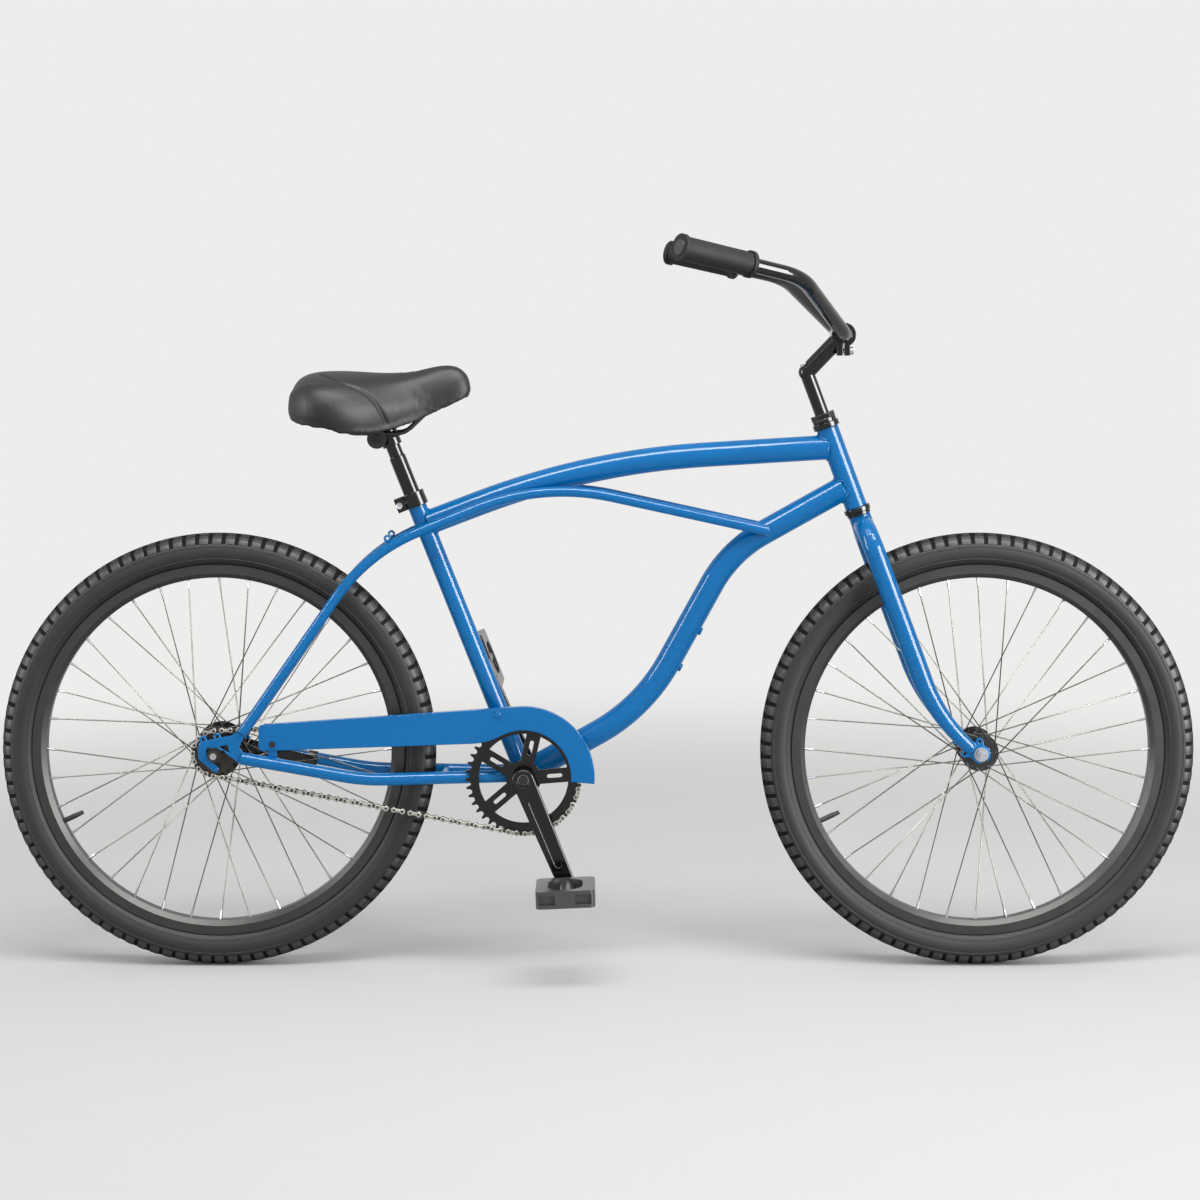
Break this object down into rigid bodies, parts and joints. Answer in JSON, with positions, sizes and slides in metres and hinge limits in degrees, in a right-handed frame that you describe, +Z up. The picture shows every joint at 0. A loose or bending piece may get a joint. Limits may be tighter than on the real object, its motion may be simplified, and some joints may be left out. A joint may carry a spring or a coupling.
{
  "type": "beach cruiser bicycle",
  "caption": "Beach cruiser bicycle with a curved cantilever frame, wide tyres, swept-back bar, coaster brake hub, chain guard and wide padded saddle.",
  "frame": {"origin": "on the ground, midway between the wheel axles, in the middle plane", "axes": "+X forward, +Y towards the left side (away from the chain), +Z up"},
  "size_m": [1.8318, 0.6932, 1.1191],
  "materials": {
    "blue_paint": "gloss",
    "black_paint": "gloss",
    "zinc_steel": "satin",
    "chain_steel": "satin",
    "black_alloy": "satin",
    "black_steel": "satin",
    "tyre_rubber": "matte",
    "tube_rubber": "matte",
    "grip_rubber": "matte",
    "grey_resin": "satin",
    "vinyl": "satin",
    "black_plastic": "matte"
  },
  "bodies": {
    "frame": {"head_tube": "blue_paint", "top_tube": "blue_paint", "down_tube": "blue_paint", "seat_tube": "blue_paint", "bottom_bracket_shell": "blue_paint", "right_stay": "blue_paint", "left_stay": "blue_paint", "right_chainstay": "blue_paint", "left_chainstay": "blue_paint", "right_rear_dropout": "blue_paint", "left_rear_dropout": "blue_paint", "brazed_fittings": "blue_paint", "chain_guard": "blue_paint", "frame_screws": "black_steel", "seat_collar": "black_paint", "headset_cups": "black_paint", "headset_bearings": "zinc_steel", "bottom_bracket_cups": "zinc_steel", "bottom_bracket_bearings": "zinc_steel", "rear_axle": "zinc_steel", "rear_hub_bearings": "zinc_steel", "rear_axle_nuts": "zinc_steel", "coaster_brake_arm": "black_paint", "chain": "chain_steel"},
    "steering": {"fork_steerer": "blue_paint", "right_fork_blade": "blue_paint", "left_fork_blade": "blue_paint", "headset_races": "black_paint", "front_axle": "zinc_steel", "front_hub_bearings": "zinc_steel", "front_axle_nuts": "zinc_steel"},
    "stem": {"stem": "black_paint", "stem_bolts": "zinc_steel"},
    "bar": {"handlebar": "black_paint", "right_grip": "grip_rubber", "left_grip": "grip_rubber"},
    "front_wheel": {"front_tyre": "tyre_rubber", "front_inner_tube": "tube_rubber", "front_rim": "black_alloy", "front_spokes": "black_steel", "front_hub": "black_steel"},
    "rear_wheel": {"rear_tyre": "tyre_rubber", "rear_inner_tube": "tube_rubber", "rear_rim": "black_alloy", "rear_spokes": "black_steel", "rear_hub": "black_steel"},
    "driver": {"rear_sprocket": "chain_steel"},
    "crankset": {"crank_spindle": "zinc_steel", "right_crank": "black_paint", "left_crank": "black_paint", "chainring": "black_paint", "crank_bolts": "black_steel", "pedal_axles": "zinc_steel"},
    "right_pedal": {"right_pedal": "grey_resin"},
    "left_pedal": {"left_pedal": "grey_resin"},
    "seatpost": {"seatpost": "black_paint", "saddle_clamp": "black_paint"},
    "saddle": {"saddle_undercarriage": "black_steel", "saddle_base": "black_plastic", "saddle_cover": "vinyl"}
  },
  "joints": [
    {"name": "steering", "type": "hinge", "parent": "frame", "child": "steering", "pos_m": [0.39601, 0, 0.70585], "axis": [-0.3486, 0, 0.9373], "range_deg": [-90, 90]},
    {"name": "stem_height", "type": "slide", "parent": "steering", "child": "stem", "axis": [-0.3486, 0, 0.9373], "range_m": [-0.02, 0.03]},
    {"name": "bar_tilt", "type": "hinge", "parent": "stem", "child": "bar", "pos_m": [0.37435, 0, 0.97073], "axis": [0, 1, 0], "range_deg": [-20, 20]},
    {"name": "front_wheel_spin", "type": "hinge", "parent": "steering", "child": "front_wheel", "pos_m": [0.5825, 0, 0.3335], "axis": [0, 1, 0], "continuous": true},
    {"name": "rear_wheel_spin", "type": "hinge", "parent": "frame", "child": "rear_wheel", "pos_m": [-0.5825, 0, 0.3335], "axis": [0, 1, 0], "continuous": true},
    {"name": "crank_spin", "type": "hinge", "parent": "frame", "child": "crankset", "pos_m": [-0.11369, 0, 0.2953], "axis": [0, 1, 0], "continuous": true, "deforming": ["chain"]},
    {"name": "sprocket_spin", "type": "hinge", "parent": "frame", "child": "driver", "pos_m": [-0.5825, 0, 0.3335], "axis": [0, 1, 0], "continuous": true},
    {"name": "right_pedal_spin", "type": "hinge", "parent": "crankset", "child": "right_pedal", "pos_m": [-0.04809, 0, 0.13847], "axis": [0, 1, 0], "continuous": true},
    {"name": "left_pedal_spin", "type": "hinge", "parent": "crankset", "child": "left_pedal", "pos_m": [-0.1793, 0, 0.45213], "axis": [0, 1, 0], "continuous": true},
    {"name": "seat_height", "type": "slide", "parent": "frame", "child": "seatpost", "axis": [-0.3697, 0, 0.9291], "range_m": [-0.04, 0.045]},
    {"name": "saddle_tilt", "type": "hinge", "parent": "seatpost", "child": "saddle", "pos_m": [-0.33727, 0, 0.8119], "axis": [0, 1, 0], "range_deg": [-15, 15]}
  ],
  "couplings": [
    {"joint": "sprocket_spin", "follows": "crank_spin", "ratio": 2.4706}
  ]
}
